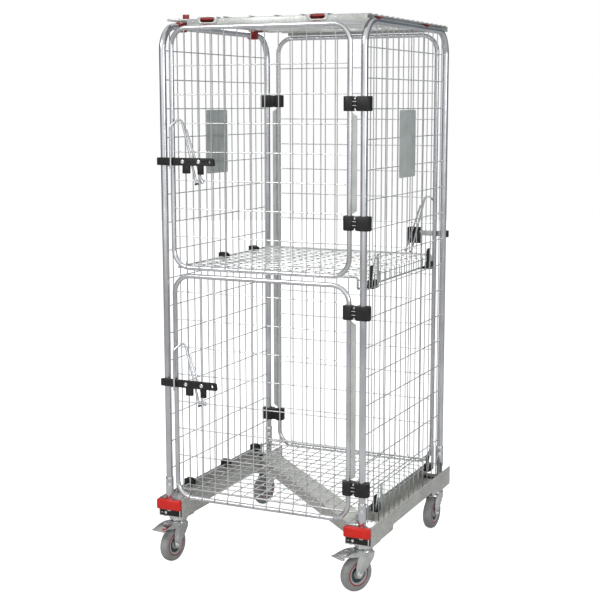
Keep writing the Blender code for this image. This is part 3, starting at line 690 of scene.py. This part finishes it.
def build_side(side, sign):
    """Posts and top tube from one bent tube with sleeves at its feet, its wire mesh and its label plate."""
    x = sign * POST_X
    foot = RAIL_FLOOR + 0.0003
    corners = [(x, FRONT_Y, foot), (x, FRONT_Y, PANEL_TOP), (x, REAR_Y, PANEL_TOP), (x, REAR_Y, foot)]
    shapes = [bars([rounded(corners, PANEL_BEND, 14)], POST_R, 20)]
    low = RAIL_HIGH.z + 0.0003
    sleeve = [
        (POST_R - 0.001, low),
        (0.0138, low),
        (0.0142, low + 0.001),
        (0.0142, low + 0.0560),
        (0.0136, low + 0.0575),
        (0.0142, low + 0.0590),
        (0.0142, low + 0.0770),
        (0.0136, low + 0.0780),
        (POST_R - 0.001, low + 0.0780),
    ]
    for y in (FRONT_Y, REAR_Y):
        shapes.append(lathe(sleeve, 28, Matrix.Translation((x, y, 0))))
    panel = side + "_side_panel"
    piece(side + "_panel_tube", shapes, "tube", "base", [panel], 50)

    upright, level = x + sign * 0.0009, x - sign * 0.0027
    lines = []
    for k in range(-7, 8):
        y = CAGE_Y + SIDE_PITCH * k
        lines.append([(upright, y, foot + 0.001), (upright, y, top_of_wire(y) - POST_R * 0.55)])
    for z in SIDE_ROWS:
        short = side == "right" and any(abs(z - blocked) < 0.01 for blocked in BLOCKED_ROWS)
        start = CAGE_Y - 7 * SIDE_PITCH - 0.004 if short else FRONT_Y + POST_R * 0.6
        lines.append([(level, start, z), (level, REAR_Y - POST_R * 0.6, z)])
    piece(side + "_panel_mesh", [bars(lines, WIRE_R)], "wire", "base")

    node = "label_plate_" + side
    low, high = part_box(node)
    outline = box_points((low.y, low.z), (high.y, high.z), 0.006)
    middle = (low.x + high.x) / 2
    holes = [
        ring_of(y, z, 0.0022, 12)
        for y in (low.y + 0.009, high.y - 0.009)
        for z in (low.z + 0.009, high.z - 0.009)
    ]
    plate = [sheet(outline, (high.x - low.x) / 2, Matrix.Translation((middle, 0, 0)) @ TO_YZ, holes, 0.0004)]
    inset = box_points((low.y + 0.012, low.z + 0.020), (high.y - 0.012, high.z - 0.020), 0.004)
    edge_x = (low.x if sign < 0 else high.x) + sign * 0.0001
    plate.append(sheet(inset, 0.0004, Matrix.Translation((edge_x, 0, 0)) @ TO_YZ, edge=0.0002))
    piece("label_" + side, plate, "label", "base", [node])


# ---------------------------------------------------------------- doors and rear panel

def build_panel(door, spin):
    """A ring of tube, a mesh whose wire ends lap over the bottom tube, and a strip by the hinge tube."""
    low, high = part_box(door)
    low_z, high_z = low.z + DOOR_R, high.z - DOOR_R
    y = -POST_Y
    ring = rounded(
        [(FREE_X, y, low_z), (HINGE_X, y, low_z), (HINGE_X, y, high_z), (FREE_X, y, high_z)],
        DOOR_BEND,
        12,
        closed=True,
    )
    piece(door + "_ring", turned([bars([ring], DOOR_R, 18, closed=True)], spin), "tube", door, [door], 50)

    def end_of(x):
        """How far a wire at x runs past the straight part of the ring, at a bend."""
        past = max(FREE_X + DOOR_BEND - x, x - HINGE_X + DOOR_BEND, 0.0)
        return DOOR_BEND - math.sqrt(max(0.0, DOOR_BEND ** 2 - past ** 2))

    upright, level, lapped = y - 0.0012, y + 0.0024, y - DOOR_R - WIRE_R + 0.0006
    lines = []
    for k in range(1, 13):
        x = FREE_X + DOOR_PITCH * k
        start, stop = low_z + end_of(x), high_z - end_of(x)
        lines.append([
            (x, lapped, start - 0.0055),
            (x, lapped, start + 0.009),
            (x, upright, start + 0.024),
            (x, upright, stop - 0.004),
        ])
    for z in ROWS[door]:
        lines.append([(FREE_X, level, z), (HINGE_X - 0.003, level, z)])
    piece(door + "_mesh", turned([bars(lines, WIRE_R)], spin), "wire", door)

    clips = [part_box(door + "_clip_bottom"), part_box(door + "_clip_top")]
    bottom, top = clips[0][1].z + 0.006, clips[1][0].z - 0.006
    near, far = HINGE_X + 0.0098, HINGE_X + 0.0262
    outline = rounded(
        [(HINGE_X, bottom, 0), (near, bottom + 0.012, 0), (near, top - 0.012, 0), (HINGE_X, top, 0),
         (HINGE_X + 0.004, top + 0.003, 0), (far, top - 0.010, 0), (far, bottom + 0.010, 0),
         (HINGE_X + 0.004, bottom - 0.003, 0)],
        [0, 0.004, 0.004, 0, 0, 0.006, 0.006, 0],
        3,
        closed=True,
    )
    strip = sheet(outline, 0.0014, Matrix.Translation((0, y, 0)) @ TO_XZ, edge=0.0005)
    piece(door + "_strip", turned([strip], spin), "strip", door)


def build_clips(door, spin):
    """Moulded double hinges: a lobe round each tube, and a recessed web with two thin ribs between them."""
    shapes, ribs, heads = [], [], []
    y = -POST_Y
    for end in ("_clip_bottom", "_clip_top"):
        low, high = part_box(door + end)
        middle, half = (low.z + high.z) / 2, (high.z - low.z) / 2
        depth = (high.y - low.y) / 2
        left = HINGE_X - 0.0195
        bores = [ring_of(HINGE_X, y, DOOR_R + 0.0003, 24), ring_of(POST_X, y, POST_R + 0.0003, 28)]
        web = box_points((left + 0.0080, y - depth + 0.0085), (POST_X + 0.010, y + depth - 0.0050), 0.008, 5)
        shapes.append(sheet(web, half - 0.002, Matrix.Translation((0, 0, middle)), bores, 0.0010))
        near = box_points((left, y - depth), (HINGE_X + 0.0155, y + depth), 0.0135, 7)
        shapes.append(sheet(near, half, Matrix.Translation((0, 0, middle)), bores[:1], 0.0030))
        barrel = ring_of(POST_X, y, depth + 0.0078, 32)
        barrel = [(min(px, POST_X + 0.0268), max(y - depth, min(y + depth, py))) for px, py in barrel]
        shapes.append(sheet(barrel, half, Matrix.Translation((0, 0, middle)), bores[1:], 0.0030))
        centre = (HINGE_X + POST_X) / 2
        for k in (-1, 1):
            spot = middle + k * 0.0065
            low_rib = (centre - 0.011, y - depth + 0.0040, spot - 0.0011)
            ribs.append(block(low_rib, (centre + 0.009, y - depth + 0.0100, spot + 0.0011), 0.0005))
            screw = (centre - 0.0012, y - depth + 0.0082, middle + k * (half - 0.0070))
            heads.append(socket_bolt(screw, (0, -1, 0), 0.0042, 0.0046))
    nodes = [door + "_clip_bottom", door + "_clip_top"]
    piece(door + "_clips", turned(shapes, spin), "black", door + "_hinge", nodes)
    piece(door + "_clip_ribs", turned(ribs, spin), "strip", door + "_hinge")
    piece(door + "_clip_screws", turned(heads, spin), "bolt", door + "_hinge")


def build_latch(door, spin):
    """The bar with its clamp blocks and bolts, the rod that hooks in front of it, and the rod beside that."""
    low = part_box(door + "_latch_bar")[0]
    rear = door == "rear_panel"
    back = -POST_Y - LATCH_GAP
    front = back - LATCH_T
    z = low.z + (0.041 if rear else 0.044)
    left = LATCH_LEFT
    right = REAR_LATCH_RIGHT if rear else LATCH_RIGHT
    shapes, strap = [], []
    middle = (back + front) / 2
    if rear:
        shapes.append(block((left, front, z - 0.0135), (left + 0.026, back, z + 0.0135), 0.002))
        strap.append(
            block((left + 0.024, front + 0.003, z - 0.0105), (-0.280, back - 0.003, z + 0.0105), 0.001)
        )
        clamp = rounded(
            [(-0.284, z - 0.041, 0), (right, z - 0.041, 0), (right, z + 0.0228, 0), (-0.284, z + 0.0228, 0),
             (-0.284, z + 0.0085, 0), (-0.277, z + 0.0085, 0), (-0.277, z + 0.0005, 0),
             (-0.284, z + 0.0005, 0)],
            [0.003, 0.004, 0.004, 0.003, 0.001, 0.001, 0.001, 0.001],
            3,
            closed=True,
        )
        shapes.append(sheet(clamp, 0.0058, Matrix.Translation((0, middle, 0)) @ TO_XZ, edge=0.0012))
        bolts = (-0.256,)
    else:
        outline = rounded(
            [(left, z - 0.0135, 0), (right, z - 0.0135, 0), (right - 0.003, z + 0.010, 0),
             (right - 0.008, z + 0.0135, 0), (left, z + 0.0135, 0)],
            [0.003, 0.003, 0.002, 0.002, 0.003],
            3,
            closed=True,
        )
        hole = ring_of(right - 0.0195, z, 0.0058, 24)
        shapes.append(sheet(outline, 0.006, Matrix.Translation((0, middle, 0)) @ TO_XZ, [hole], 0.0012))
        for x0, x1, drop in ((-0.294, -0.266, 0.041), (-0.234, -0.213, 0.044)):
            shapes.append(block((x0, front + 0.0004, z - drop), (x1, back - 0.0002, z - 0.004), 0.0018))
        for x in (left + 0.030, left + 0.060):
            rib_low = (x, front - 0.0006, z - 0.0105)
            shapes.append(block(rib_low, (x + 0.002, front + 0.002, z + 0.0105), 0.0005))
        bolts = (-0.292, -0.228)
    grip = facing((-0.2457, -POST_Y - ROD_BEHIND, z - 0.0805), (-0.242536, 0, 0.970143))
    collar = [(0.0042, 0.0), (0.0066, 0.0), (0.0070, 0.003), (0.0066, 0.006), (0.0042, 0.006)]
    shapes.append(lathe(collar, 18, grip))
    piece(door + "_latch", turned(shapes, spin), "black", door, [door + "_latch_bar"])
    if strap:
        piece(door + "_latch_strap", turned(strap, spin), "strip", door)
    heads = [socket_bolt((x, front + 0.0004, z), (0, -1, 0), 0.0075, 0.0036) for x in bolts]
    piece(door + "_latch_bolts", turned(heads, spin), "bolt", door)

    rod_y, free_y = -POST_Y - ROD_BEHIND, -POST_Y - HOOK_FREE
    hook = rounded(
        [(-0.246, rod_y, z - 0.080), (-0.305, rod_y, z + 0.156), (-0.337, free_y, z + 0.121),
         (-0.337, free_y, z - 0.026)],
        0.013,
        6,
    )
    hook = turned([bars([hook], 0.004, 12)], spin)
    piece(door + "_hook_rod", hook, "tube", door + "_latch", [door + "_latch_rod"], 50)

    shapes = [bars([[(-0.2245, rod_y, z - 0.070), (-0.2850, rod_y, z + 0.112)]], 0.0036, 12)]
    cup = facing((-0.2245, rod_y, z - 0.070), (-0.3154, 0, 0.9490))
    tip = [(0, -0.007), (0.0050, -0.006), (0.0062, 0.0), (0.0062, 0.011), (0.0036, 0.012)]
    shapes.append(lathe(tip, 18, cup, closed=False))
    piece(door + "_guide_rod", turned(shapes, spin), "tube", door)


# ---------------------------------------------------------------- deck and shelf

def build_floor(name, node, body):
    """A welded wire floor in an edge wire, its right edge turned down into a lip."""
    low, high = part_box(node)
    edge = 0.0038
    left, right = low.x + edge, high.x - edge
    front, rear = low.y + edge, high.y - edge
    z, base = high.z - edge, low.z + edge
    corners = [
        (left, front, z), (right, front, z), (right, front, base), (right, rear, base), (right, rear, z),
        (left, rear, z),
    ]
    shapes = [bars([rounded(corners, 0.008, 5, closed=True)], edge, 12, closed=True)]
    lines = []
    count = 15
    for k in range(1, count):
        y = front + (rear - front) * k / count
        lines.append(rounded([(left, y, z), (right + 0.0012, y, z), (right + 0.0012, y, base)], 0.006, 4))
    for k in range(1, 14):
        x = left + (right - left) * k / 14
        lines.append([(x, front, z - 0.0034), (x, rear, z - 0.0034)])
    lines.append([(right - 0.0022, front, z - 0.012), (right - 0.0022, rear, z - 0.012)])
    shapes.append(bars(lines, WIRE_R))
    piece(name, shapes, "wire", body, [node])


def build_floor_clips(name, nodes):
    """Black clips on the left side that the floor's edge wire turns in."""
    shapes = []
    for node in nodes:
        low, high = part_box(node)
        axis_x, axis_z = joint_at("deck_fold").x, low.z + 0.013
        outline = rounded(
            [
                (low.x, low.z, 0), (high.x, low.z, 0), (high.x, high.z - 0.006, 0),
                (high.x - 0.012, high.z, 0), (low.x, high.z, 0),
            ],
            [0.002, 0.006, 0.004, 0.004, 0.002],
            3,
            closed=True,
        )
        hole = ring_of(axis_x, axis_z, 0.0044, 16)
        for y in (low.y + 0.0045, high.y - 0.0045):
            shapes.append(sheet(outline, 0.0045, Matrix.Translation((0, y, 0)) @ TO_XZ, [hole], 0.0012))
        inner = rounded(
            [
                (low.x, low.z + 0.002, 0), (axis_x - 0.006, low.z + 0.002, 0),
                (axis_x - 0.006, high.z - 0.001, 0), (low.x, high.z - 0.001, 0),
            ],
            0.0015, 2, closed=True,
        )
        middle = (low.y + high.y) / 2
        shapes.append(
            sheet(
                inner, (high.y - low.y) / 2 - 0.001, Matrix.Translation((0, middle, 0)) @ TO_XZ,
                edge=0.0008,
            )
        )
    piece(name, shapes, "black", "base", nodes)


def build_catches(name, nodes, arm):
    """Black catches at the right, each with an upright hook, and a plate and a spring wire beside it."""
    shapes, plates, springs = [], [], []
    for node in nodes:
        low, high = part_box(node)
        middle = (low.y + high.y) / 2
        inner = high.x - 0.0242
        shapes.append(block((inner, middle - 0.018, low.z), (high.x, middle + 0.018, low.z + 0.030), 0.0025))
        hook = rounded(
            [(inner + 0.004, low.z + 0.010, 0), (inner + 0.012, low.z + 0.010, 0),
             (inner + 0.012, high.z - 0.014, 0),
             (inner + 0.016, high.z - 0.006, 0), (inner + 0.011, high.z, 0),
             (inner + 0.004, high.z - 0.010, 0)],
            [0, 0, 0.004, 0.002, 0.002, 0.004], 3, closed=True,
        )
        shapes.append(sheet(hook, 0.010, Matrix.Translation((0, middle, 0)) @ TO_XZ, edge=0.0012))
        if arm:
            shapes.append(
                block(
                    (low.x, middle - 0.014, low.z + 0.0002), (inner + 0.005, middle + 0.014, low.z + 0.003),
                    0.0009,
                )
            )
        outline = box_points((middle + 0.0205, low.z - 0.001), (middle + 0.042, high.z + 0.034), 0.005)
        plate_at = Matrix.Translation((high.x - 0.0042, 0, 0)) @ TO_YZ
        eye = ring_of(middle + 0.031, high.z + 0.020, 0.003, 12)
        plates.append(sheet(outline, 0.0010, plate_at, [eye], 0.0004))
        springs.append([
            (high.x - 0.003, middle - 0.0225, low.z + 0.006),
            (high.x - 0.003, middle - 0.0225, low.z + 0.026),
            (high.x - 0.004, middle - 0.004, high.z + 0.016),
            (high.x - 0.004, middle + 0.008, high.z + 0.018),
        ])
    piece(name, shapes, "black", "base", nodes)
    piece(name + "_springs", [bars([rounded(s, 0.005, 3) for s in springs], 0.0013, 8)], "tube", "base")
    piece(name + "_plates", plates, "label", "base")


# ---------------------------------------------------------------- roof

def build_roof():
    """Folded edge channels, raised oval grips and the wire mesh that laps over them."""
    low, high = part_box("roof_lid")
    level = high.z - 0.010
    half = 0.002
    front, rear = low.y, high.y
    depth, seam, strip = 0.060, 0.026, 0.050
    top, under = level + half, level - half
    flange_low = low.z
    shapes = []
    for outer, sign in ((front, 1), (rear, -1)):
        inner = outer + sign * depth
        profile = [
            (outer, flange_low), (outer + sign * 0.0022, flange_low), (outer + sign * 0.0022, top - 0.0022),
            (inner - sign * 0.0022, top - 0.0022), (
                inner - sign * 0.0022, under - 0.007,
            ), (inner, under - 0.007),
            (inner, top), (outer, top),
        ]
        folded = rounded(
            [(y, z, 0) for y, z in profile], [0, 0, 0.001, 0.001, 0, 0, 0.0028, 0.0028], 3, closed=True,
        )
        start = ROOF_FLANGE_LEFT
        middle, reach = (start + high.x) / 2, (high.x - start) / 2 - 0.001
        shapes.append(sheet(folded, reach, Matrix.Translation((middle, 0, 0)) @ TO_YZ, edge=0.0005))
        near, far = sorted((outer + sign * 0.0005, inner))
        shapes.append(block((low.x, near, under + 0.0003), (start + 0.003, far, top - 0.0003), 0.0009))
    side_low, side_high = front + 0.002, rear - 0.002
    shapes.append(block((low.x, side_low, under), (low.x + seam, side_high, top - 0.0003), 0.0009))
    shapes.append(block((high.x - strip, side_low, under), (high.x, side_high, top - 0.0003), 0.0009))
    shapes.append(
        block((high.x - 0.004, side_low, under - 0.0005), (high.x - 0.0015, side_high, top), 0.0009)
    )
    rim_z = level - 0.003
    for x in OVAL_XS:
        rim = box_points((x - 0.040, rim_z - 0.0130), (x + 0.040, rim_z + 0.0130), 0.0125, 8)
        hole = list(
            reversed(box_points((x - 0.0265, rim_z - 0.0072), (x + 0.0265, rim_z + 0.0088), 0.0076, 8))
        )
        shapes.append(sheet(rim, 0.0032, Matrix.Translation((0, front + 0.0008, 0)) @ TO_XZ, [hole], 0.0016))
        shapes.append(
            block(
                (x - 0.034, front + 0.001, top - 0.001), (x + 0.034, front + 0.040, high.z - 0.0015), 0.003,
                3,
            )
        )
    tab = box_points((-0.380, front + 0.030), (low.x + 0.030, front + 0.058), 0.006)
    shapes.append(sheet(tab, 0.0030, Matrix.Translation((0, 0, top + 0.0025)), edge=0.0010))
    piece("roof_channels", shapes, "roof", "lid", ["roof_lid"])

    grips = []
    for x in OVAL_XS:
        insert = box_points((x - 0.028, rim_z - 0.0085), (x + 0.028, rim_z + 0.0100), 0.0088, 8)
        grips.append(sheet(insert, 0.0016, Matrix.Translation((0, front + 0.0016, 0)) @ TO_XZ, edge=0.0008))
        grips.append(
            block(
                (x - 0.016, front - 0.0002, flange_low - 0.0030),
                (x + 0.010, front + 0.010, flange_low + 0.0015), 0.001,
            )
        )
    piece("roof_grips", grips, "dark_red", "lid")

    heads = []
    for x in (-0.300, -0.262, -0.140, -0.060, 0.040, 0.150, 0.275, 0.330):
        if x > ROOF_FLANGE_LEFT:
            heads.append(rivet((x, front, level - 0.007), (0, -1, 0), 0.0028, 0.0014))
            heads.append(rivet((x, rear, level - 0.007), (0, 1, 0), 0.0028, 0.0014))
        heads.append(rivet((x, front + 0.030, top), (0, 0, 1), 0.0032, 0.0016))
        heads.append(rivet((x, rear - 0.030, top), (0, 0, 1), 0.0032, 0.0016))
    piece("roof_rivets", heads, "bolt", "lid")

    lines = []
    across = 7
    for k in range(1, across):
        x = low.x + seam + (high.x - strip - low.x - seam) * k / across
        lines.append([(x, front + 0.006, top + 0.0050), (x, rear - 0.006, top + 0.0050)])
    for k in range(0, 16):
        y = front + 0.030 + (rear - front - 0.060) * k / 15
        lines.append([(low.x + 0.004, y, top + 0.0016), (high.x + 0.0015, y, top + 0.0016)])
    piece("roof_mesh", [bars(lines, WIRE_R)], "wire", "lid")


def build_roof_fittings():
    """Red hinge blocks on the left tube, wedge catches on the right one, and small tabs."""
    hinges = ["lid_hinge_front", "lid_hinge_rear"]
    shapes = []
    for node in hinges:
        low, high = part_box(node)
        outline = rounded(
            [(low.x + 0.002, low.z, 0), (low.x + 0.0345, low.z, 0), (low.x + 0.0355, high.z - 0.005, 0),
             (high.x, high.z - 0.004, 0), (high.x, high.z, 0), (low.x + 0.002, high.z, 0)],
            [0.006, 0.005, 0.001, 0.001, 0.001, 0.005],
            4,
            closed=True,
        )
        hole = ring_of(-POST_X, PANEL_TOP, POST_R + 0.0004, 28)
        half = (high.y - low.y) / 2
        middle = (low.y + high.y) / 2
        shapes.append(sheet(outline, half, Matrix.Translation((0, middle, 0)) @ TO_XZ, [hole], 0.0013))
        for k in (-1, 1):
            collar = [
                (POST_R + 0.0004, -0.0025), (0.0165, -0.0025), (0.0172, -0.0015), (0.0172, 0.0015),
                (0.0165, 0.0025), (POST_R + 0.0004, 0.0025),
            ]
            shapes.append(
                lathe(collar, 28, facing((-POST_X, middle + k * (half + 0.0015), PANEL_TOP), (0, 1, 0)))
            )
    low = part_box("lid_hinge_front")[0]
    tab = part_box("roof_lid")[1].z - 0.008
    shapes.append(block((-0.338, low.y - 0.040, tab - 0.001), (-0.314, low.y - 0.034, tab + 0.0215), 0.0012))
    piece("roof_hinge_blocks", shapes, "dark_red", "lid", hinges)

    catches = ["lid_catch_front", "lid_catch_rear"]
    shapes = []
    for node in catches:
        low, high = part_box(node)
        shapes.extend(wedge(low, high))
    piece("roof_catches", shapes, "dark_red", "lid", catches)


def wedge(low, high):
    """A catch that rests on the tube: two cheeks that stop above it and a rib along its top."""
    shapes = []
    clear = PANEL_TOP + POST_R + 0.0006
    shapes.append(block((low.x, low.y, max(low.z, clear)), (high.x + 0.003, high.y, high.z - 0.0002), 0.0008))
    edge_x = POST_X + POST_R * 0.62
    shapes.append(
        block(
            (edge_x + 0.0018, low.y + 0.002, PANEL_TOP + POST_R * 0.80),
            (high.x + 0.0045, high.y - 0.002, high.z - 0.001), 0.001,
        )
    )
    return shapes


# ---------------------------------------------------------------- everything

for side, sign in (("left", -1), ("right", 1)):
    build_rail(side)
    build_bumper(side)
    build_side(side, sign)
build_foot_plates()
build_beam()
for tag in ("front_left", "front_right", "rear_left", "rear_right"):
    build_castor(tag)

TO_FRONT = Matrix.Translation((0, CAGE_Y, 0))
TO_REAR = TO_FRONT @ Matrix.Rotation(math.pi, 4, "Z")
for door, spin in (("upper_door", TO_FRONT), ("lower_door", TO_FRONT), ("rear_panel", TO_REAR)):
    build_panel(door, spin)
    build_clips(door, spin)
    build_latch(door, spin)

build_floor("deck_mesh", "bottom_deck", "deck")
build_floor("shelf_mesh", "middle_shelf", "shelf")
build_floor_clips("deck_clips", ["deck_clip_front", "deck_clip_middle", "deck_clip_rear"])
build_floor_clips("shelf_clips", ["shelf_clip_front", "shelf_clip_rear"])
build_catches("deck_catches", ["deck_support_front", "deck_support_rear"], False)
build_catches("shelf_catches", ["shelf_support_front", "shelf_support_rear"], True)
build_roof()
build_roof_fittings()


# ---------------------------------------------------------------- stage

def build_floor_stage():
    mesh = bpy.data.meshes.new("studio_floor")
    bm = bmesh.new()
    bmesh.ops.create_circle(bm, cap_ends=True, segments=64, radius=14.0)
    bm.to_mesh(mesh)
    bm.free()
    made = bpy.data.objects.new("studio_floor", mesh)
    bpy.context.scene.collection.objects.link(made)
    paper, tree, shader = nodes_of("studio_white")
    shader.inputs["Roughness"].default_value = 0.9
    shader.inputs["Base Color"].default_value = (0.62, 0.62, 0.62, 1)
    shader.inputs["Emission Color"].default_value = (1, 1, 1, 1)
    rays = tree.nodes.new("ShaderNodeLightPath")
    seen = spread(tree, rays.outputs["Is Camera Ray"], 0.0, 0.86, 0.0, 1.0)
    tree.links.new(seen, shader.inputs["Emission Strength"])
    mesh.materials.append(paper)


def build_world():
    """White to the camera, and a room with dark and bright zones to the rest, so that tubes show an edge."""
    world = bpy.data.worlds.new("studio")
    bpy.context.scene.world = world
    world.use_nodes = True
    tree = world.node_tree
    tree.nodes.clear()
    place = tree.nodes.new("ShaderNodeTexCoord")
    parts = tree.nodes.new("ShaderNodeSeparateXYZ")
    tree.links.new(place.outputs["Generated"], parts.inputs["Vector"])
    turn = tree.nodes.new("ShaderNodeMath")
    turn.operation = "ARCTAN2"
    tree.links.new(parts.outputs["Y"], turn.inputs[0])
    tree.links.new(parts.outputs["X"], turn.inputs[1])
    scaled = tree.nodes.new("ShaderNodeMath")
    scaled.operation = "MULTIPLY_ADD"
    scaled.inputs[1].default_value = 1 / (2 * math.pi)
    scaled.inputs[2].default_value = 0.5 + 65.3 / 360
    tree.links.new(turn.outputs["Value"], scaled.inputs[0])
    wrapped = tree.nodes.new("ShaderNodeMath")
    wrapped.operation = "FRACT"
    tree.links.new(scaled.outputs["Value"], wrapped.inputs[0])
    around = ramp(tree, wrapped.outputs["Value"], [
        (0.00, (0.34, 0.34, 0.36)),
        (0.06, (0.045, 0.035, 0.06)),
        (0.20, (0.07, 0.06, 0.09)),
        (0.31, (0.42, 0.42, 0.43)),
        (0.46, (1.0, 1.0, 1.0)),
        (0.60, (0.62, 0.62, 0.62)),
        (0.71, (0.17, 0.19, 0.21)),
        (0.88, (0.12, 0.14, 0.155)),
        (0.97, (0.34, 0.345, 0.36)),
    ])
    height = spread(tree, parts.outputs["Z"], 0.0, 1.0, 0.25, 0.85)
    sky = mixed(tree, height, around, (0.62, 0.62, 0.62))
    depth = spread(tree, parts.outputs["Z"], 1.0, 0.0, -0.55, -0.05)
    room = mixed(tree, depth, sky, (0.26, 0.26, 0.26))
    shine = tree.nodes.new("ShaderNodeBackground")
    shine.inputs["Strength"].default_value = 1.15
    tree.links.new(room, shine.inputs["Color"])
    white = tree.nodes.new("ShaderNodeBackground")
    white.inputs["Color"].default_value = (1, 1, 1, 1)
    white.inputs["Strength"].default_value = 1.0
    rays = tree.nodes.new("ShaderNodeLightPath")
    both = tree.nodes.new("ShaderNodeMixShader")
    tree.links.new(rays.outputs["Is Camera Ray"], both.inputs["Fac"])
    tree.links.new(shine.outputs["Background"], both.inputs[1])
    tree.links.new(white.outputs["Background"], both.inputs[2])
    out = tree.nodes.new("ShaderNodeOutputWorld")
    tree.links.new(both.outputs["Shader"], out.inputs["Surface"])


def build_light(name, place, aim, size, power, colour=(1, 1, 1)):
    lamp = bpy.data.lights.new(name, "AREA")
    lamp.shape = "DISK"
    lamp.size = size
    lamp.energy = power
    lamp.color = colour
    made = bpy.data.objects.new(name, lamp)
    made.location = place
    made.rotation_euler = (Vector(aim) - Vector(place)).to_track_quat("-Z", "Y").to_euler()
    bpy.context.scene.collection.objects.link(made)


def build_camera():
    eye = bpy.data.cameras.new("camera")
    eye.lens = 76.886
    eye.sensor_width = 36.0
    made = bpy.data.objects.new("camera", eye)
    made.location = (1.9734, -4.2977, 1.6644)
    turn = Matrix.Rotation(math.radians(25.02), 4, "Z")
    tilt = Matrix.Rotation(math.radians(90 - 8.65), 4, "X")
    roll = Matrix.Rotation(math.radians(-0.08), 4, "Z")
    made.rotation_euler = (turn @ tilt @ roll).to_euler()
    bpy.context.scene.collection.objects.link(made)
    bpy.context.scene.camera = made


build_floor_stage()
build_world()
build_light("key", (-1.6, -3.4, 3.6), (0, 0, 1.0), 1.6, 48.0, (1.0, 0.99, 0.97))
build_light("fill", (3.8, -1.8, 2.2), (0, 0, 0.9), 1.8, 26.0, (0.95, 0.98, 1.0))
build_light("back", (-0.8, 3.4, 2.8), (0, 0, 1.2), 1.8, 22.0)
build_camera()
bpy.context.scene.view_settings.view_transform = "Standard"
